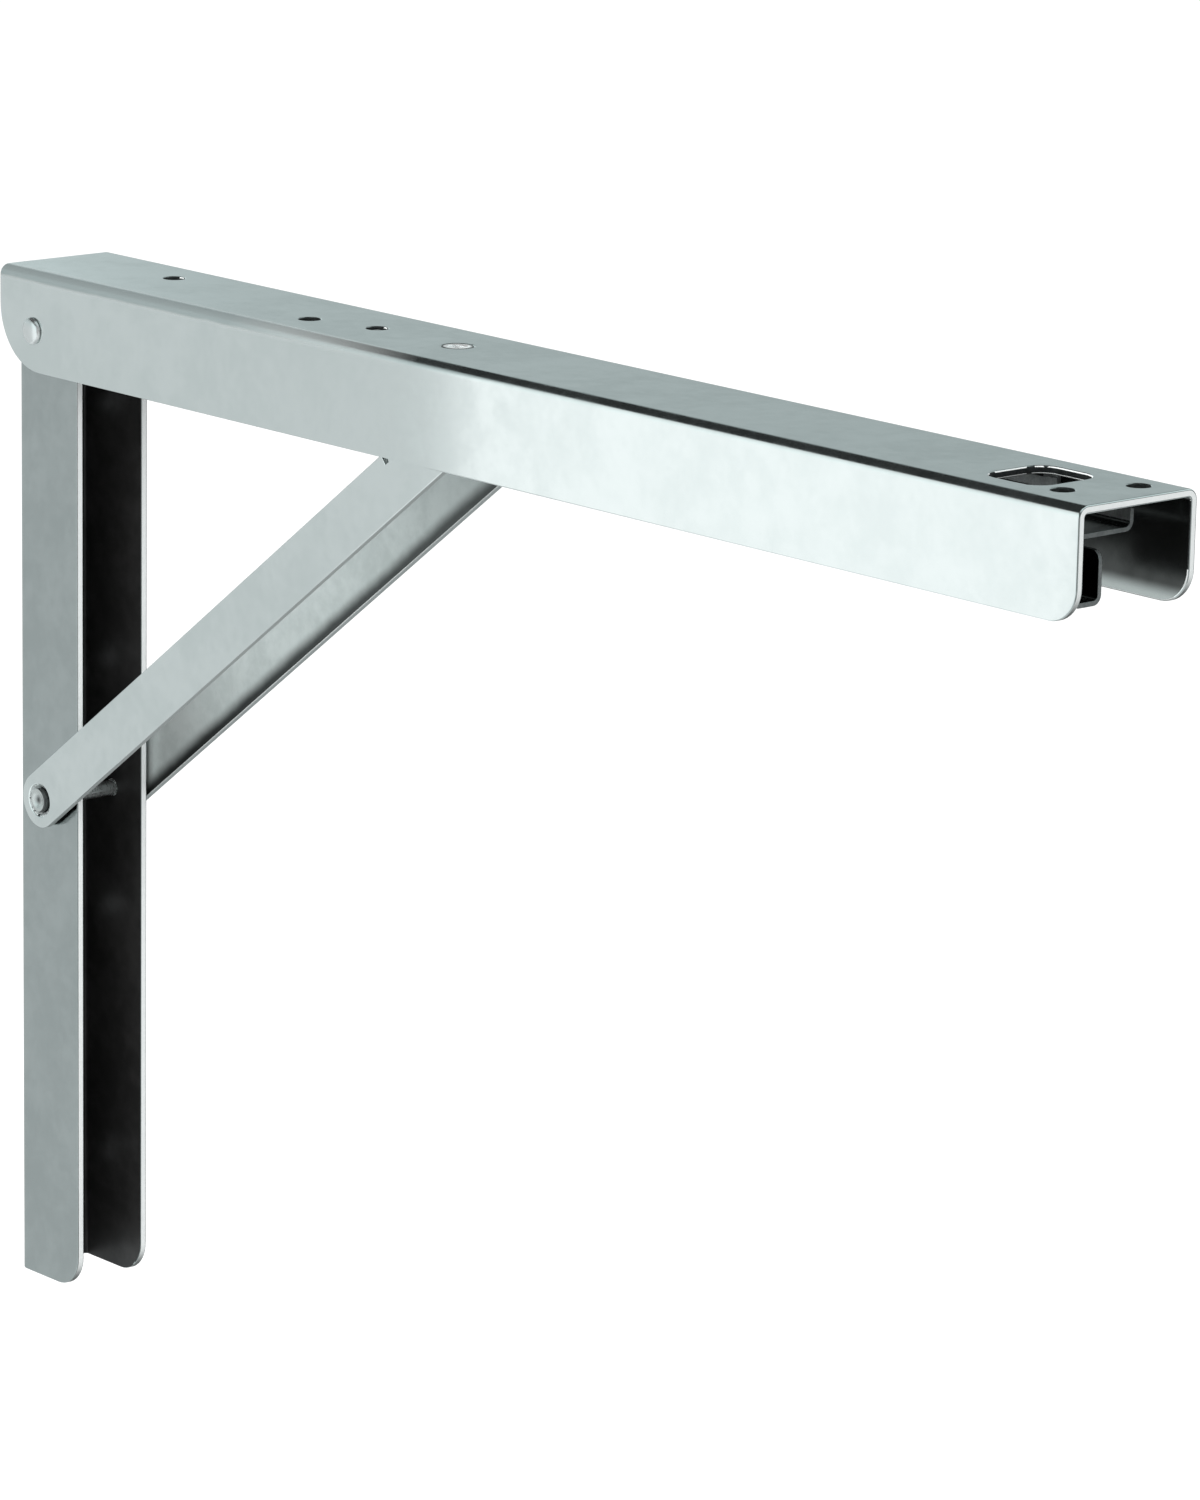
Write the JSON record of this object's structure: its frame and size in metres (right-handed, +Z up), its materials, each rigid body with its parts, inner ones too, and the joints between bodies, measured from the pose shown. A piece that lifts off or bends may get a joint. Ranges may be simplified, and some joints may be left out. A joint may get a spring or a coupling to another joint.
{
  "type": "drop leaf table bracket",
  "caption": "Folding steel bracket for a drop leaf: wall rail, hinged channel arm and sliding strut with a latch and a release lever.",
  "frame": {"origin": "on the wall plane, level with the top pivot and half way between the flanges", "axes": "+X straight out from the wall along the open arm, +Y across it, +Z up"},
  "size_m": [0.4016, 0.0402, 0.2792],
  "materials": {
    "arm_zinc": "bright zinc plate, faintly mottled",
    "rail_zinc": "bright zinc plate, faintly mottled",
    "strut_zinc": "bright zinc plate, faintly mottled",
    "guide_zinc": "zinc plate",
    "lever_zinc": "zinc plate",
    "rivet_zinc": "zinc plate, bright on the crown",
    "tube_steel": "turned steel",
    "pin_steel": "ground steel",
    "latch_steel": "hardened plate, zinc plated",
    "spring_steel": "drawn wire"
  },
  "bodies": {
    "rail": {"wall_rail": "rail_zinc", "top_pivot_rivet": "rivet_zinc", "strut_pivot_rivet": "rivet_zinc", "top_spacer_tube": "tube_steel", "top_bush_near": "tube_steel", "top_bush_far": "tube_steel", "strut_washer_near": "tube_steel", "strut_washer_far": "tube_steel"},
    "arm": {"arm": "arm_zinc", "guide_channel": "guide_zinc", "guide_rivet": "rivet_zinc", "lever_pin": "pin_steel", "lever_spring": "spring_steel"},
    "strut": {"strut": "strut_zinc", "slide_pin": "pin_steel", "latch_roller": "tube_steel"},
    "lever": {"release_lever": "lever_zinc", "latch_hook": "latch_steel", "latch_rivets": "rivet_zinc"}
  },
  "joints": [
    {"name": "arm_fold", "type": "hinge", "parent": "rail", "child": "arm", "pos_m": [0.0167, 0, 0], "axis": [0, 1, 0], "range_deg": [0, 90]},
    {"name": "strut_swing", "type": "hinge", "parent": "rail", "child": "strut", "pos_m": [0.0138, 0, -0.1281], "axis": [0, 1, 0], "range_deg": [0, 127]},
    {"name": "latch_release", "type": "hinge", "parent": "arm", "child": "lever", "pos_m": [0.2867, 0, 0.0093], "axis": [0, -1, 0], "range_deg": [0, 1.5]}
  ],
  "couplings": [
    {"joint": "strut_swing", "follows": "arm_fold", "ratio": 1.4098}
  ]
}
